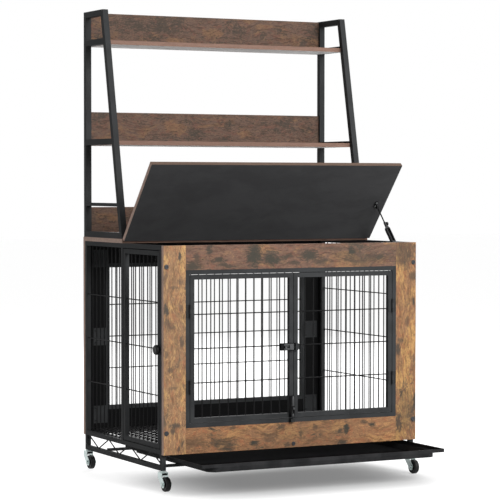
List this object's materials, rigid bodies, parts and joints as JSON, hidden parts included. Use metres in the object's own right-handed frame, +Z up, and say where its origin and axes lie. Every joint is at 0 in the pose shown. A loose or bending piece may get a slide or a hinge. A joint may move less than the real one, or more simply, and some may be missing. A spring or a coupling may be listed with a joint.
{
  "type": "wire dog crate",
  "caption": "Wire dog crate on casters with timber-look end panels, paired front doors, a side door, a pull-out tray, a lift-up lid and a leaning shelf hutch on top",
  "frame": {"origin": "centre of the bounding box at floor level, with the tray pulled out and the lid open", "axes": "+Z up; the paired doors face -Y; +X to the right of someone facing those doors"},
  "size_m": [1.027, 0.9312, 1.666],
  "materials": {
    "dark_steel": "satin powder coat",
    "board": "timber-grain melamine, matte",
    "black_plastic": "matte moulded",
    "wheel_plastic": "matte moulded",
    "zinc": "bright zinc plate"
  },
  "bodies": {
    "crate": {"left_side_frame": "dark_steel", "left_side_wires": "dark_steel", "left_side_brace": "dark_steel", "right_side_frame": "dark_steel", "right_side_wires": "dark_steel", "right_side_brace": "dark_steel", "front_left_stile": "board", "front_right_stile": "board", "front_top_rail": "board", "front_bottom_rail": "board", "back_left_stile": "board", "back_right_stile": "board", "back_top_rail": "board", "back_bottom_rail": "board", "front_door_frame": "dark_steel", "back_mesh_frame": "dark_steel", "back_mesh_wires": "dark_steel", "joining_plates": "dark_steel", "screw_caps": "black_plastic", "floor_grid": "dark_steel", "tray_bars": "dark_steel", "caster_stems": "zinc", "caster_caps": "black_plastic", "front_hinge_fixed_halves": "dark_steel", "side_door_pins": "dark_steel", "bolt_keeper": "dark_steel", "rear_top_board": "board", "lid_hinge_fixed_halves": "zinc", "stay_catch": "dark_steel", "hutch_side_frames": "dark_steel", "hutch_shelves": "board", "hutch_back_boards": "board"},
    "left_leaf": {"left_front_door": "dark_steel", "left_front_door_wires": "dark_steel", "bolt_guides": "dark_steel"},
    "right_leaf": {"right_front_door": "dark_steel", "right_front_door_wires": "dark_steel", "latch_keeper": "dark_steel"},
    "middle_bolt": {"latch_bolt": "dark_steel"},
    "floor_bolt": {"drop_bolt": "dark_steel"},
    "side_leaf": {"side_door": "dark_steel", "side_door_wires": "dark_steel"},
    "side_latch": {"side_shaft": "dark_steel", "side_tongue": "dark_steel", "side_knob": "black_plastic"},
    "pan": {"tray": "black_plastic"},
    "top_lid": {"lid": "board", "lid_hinge_moving_halves": "zinc", "stay_bracket": "black_plastic"},
    "prop_rod": {"stay_rod": "black_plastic"},
    "prop_sleeve": {"stay_sleeve": "black_plastic"},
    "prop_screw": {"stay_thumbscrew": "black_plastic"},
    "fork_front_left": {"caster_fork_front_left": "zinc"},
    "wheel_front_left": {"caster_wheel_front_left": "wheel_plastic"},
    "fork_rear_left": {"caster_fork_rear_left": "zinc"},
    "wheel_rear_left": {"caster_wheel_rear_left": "wheel_plastic"},
    "fork_front_right": {"caster_fork_front_right": "zinc"},
    "wheel_front_right": {"caster_wheel_front_right": "wheel_plastic"},
    "fork_rear_right": {"caster_fork_rear_right": "zinc"},
    "wheel_rear_right": {"caster_wheel_rear_right": "wheel_plastic"}
  },
  "joints": [
    {"name": "left_leaf_hinge", "type": "hinge", "parent": "crate", "child": "left_leaf", "pos_m": [-0.398, -0.2322, 0.48], "axis": [0, 0, -1], "range_deg": [0, 170]},
    {"name": "right_leaf_hinge", "type": "hinge", "parent": "crate", "child": "right_leaf", "pos_m": [0.404, -0.2322, 0.48], "axis": [0, 0, 1], "range_deg": [0, 170]},
    {"name": "middle_bolt_slide", "type": "slide", "parent": "left_leaf", "child": "middle_bolt", "axis": [1, 0, 0], "range_m": [0, 0.014]},
    {"name": "floor_bolt_slide", "type": "slide", "parent": "left_leaf", "child": "floor_bolt", "axis": [0, 0, -1], "range_m": [0, 0.014]},
    {"name": "side_leaf_hinge", "type": "hinge", "parent": "crate", "child": "side_leaf", "pos_m": [-0.489, 0.0979, 0.48], "axis": [0, 0, -1], "range_deg": [0, 105]},
    {"name": "side_latch_turn", "type": "hinge", "parent": "side_leaf", "child": "side_latch", "pos_m": [-0.492, -0.1886, 0.4786], "axis": [1, 0, 0], "range_deg": [0, 90]},
    {"name": "tray_slide", "type": "slide", "parent": "crate", "child": "pan", "axis": [0, 1, 0], "range_m": [-0.287, 0.238]},
    {"name": "lid_hinge", "type": "hinge", "parent": "crate", "child": "top_lid", "pos_m": [0.003, 0.1134, 0.8513], "axis": [1, 0, 0], "range_deg": [-50, 49]},
    {"name": "prop_pivot", "type": "hinge", "parent": "top_lid", "child": "prop_rod", "pos_m": [0.471, -0.01222, 0.95542], "axis": [1, 0, 0], "range_deg": [-85, 72]},
    {"name": "prop_slide", "type": "slide", "parent": "prop_rod", "child": "prop_sleeve", "axis": [0, -0.6717, -0.7408], "range_m": [-0.043, 0.014]},
    {"name": "prop_screw_turn", "type": "hinge", "parent": "prop_sleeve", "child": "prop_screw", "pos_m": [0.476, -0.06663, 0.89542], "axis": [1, 0, 0], "continuous": true},
    {"name": "swivel_front_left", "type": "hinge", "parent": "crate", "child": "fork_front_left", "pos_m": [-0.489, -0.2046, 0.058], "axis": [0, 0, 1], "continuous": true},
    {"name": "roll_front_left", "type": "hinge", "parent": "fork_front_left", "child": "wheel_front_left", "pos_m": [-0.489, -0.2296, 0.025], "axis": [1, 0, 0], "continuous": true},
    {"name": "swivel_rear_left", "type": "hinge", "parent": "crate", "child": "fork_rear_left", "pos_m": [-0.489, 0.4414, 0.058], "axis": [0, 0, 1], "continuous": true},
    {"name": "roll_rear_left", "type": "hinge", "parent": "fork_rear_left", "child": "wheel_rear_left", "pos_m": [-0.489, 0.4164, 0.025], "axis": [1, 0, 0], "continuous": true},
    {"name": "swivel_front_right", "type": "hinge", "parent": "crate", "child": "fork_front_right", "pos_m": [0.495, -0.2046, 0.058], "axis": [0, 0, 1], "continuous": true},
    {"name": "roll_front_right", "type": "hinge", "parent": "fork_front_right", "child": "wheel_front_right", "pos_m": [0.495, -0.2296, 0.025], "axis": [1, 0, 0], "continuous": true},
    {"name": "swivel_rear_right", "type": "hinge", "parent": "crate", "child": "fork_rear_right", "pos_m": [0.495, 0.4414, 0.058], "axis": [0, 0, 1], "continuous": true},
    {"name": "roll_rear_right", "type": "hinge", "parent": "fork_rear_right", "child": "wheel_rear_right", "pos_m": [0.495, 0.4164, 0.025], "axis": [1, 0, 0], "continuous": true}
  ]
}
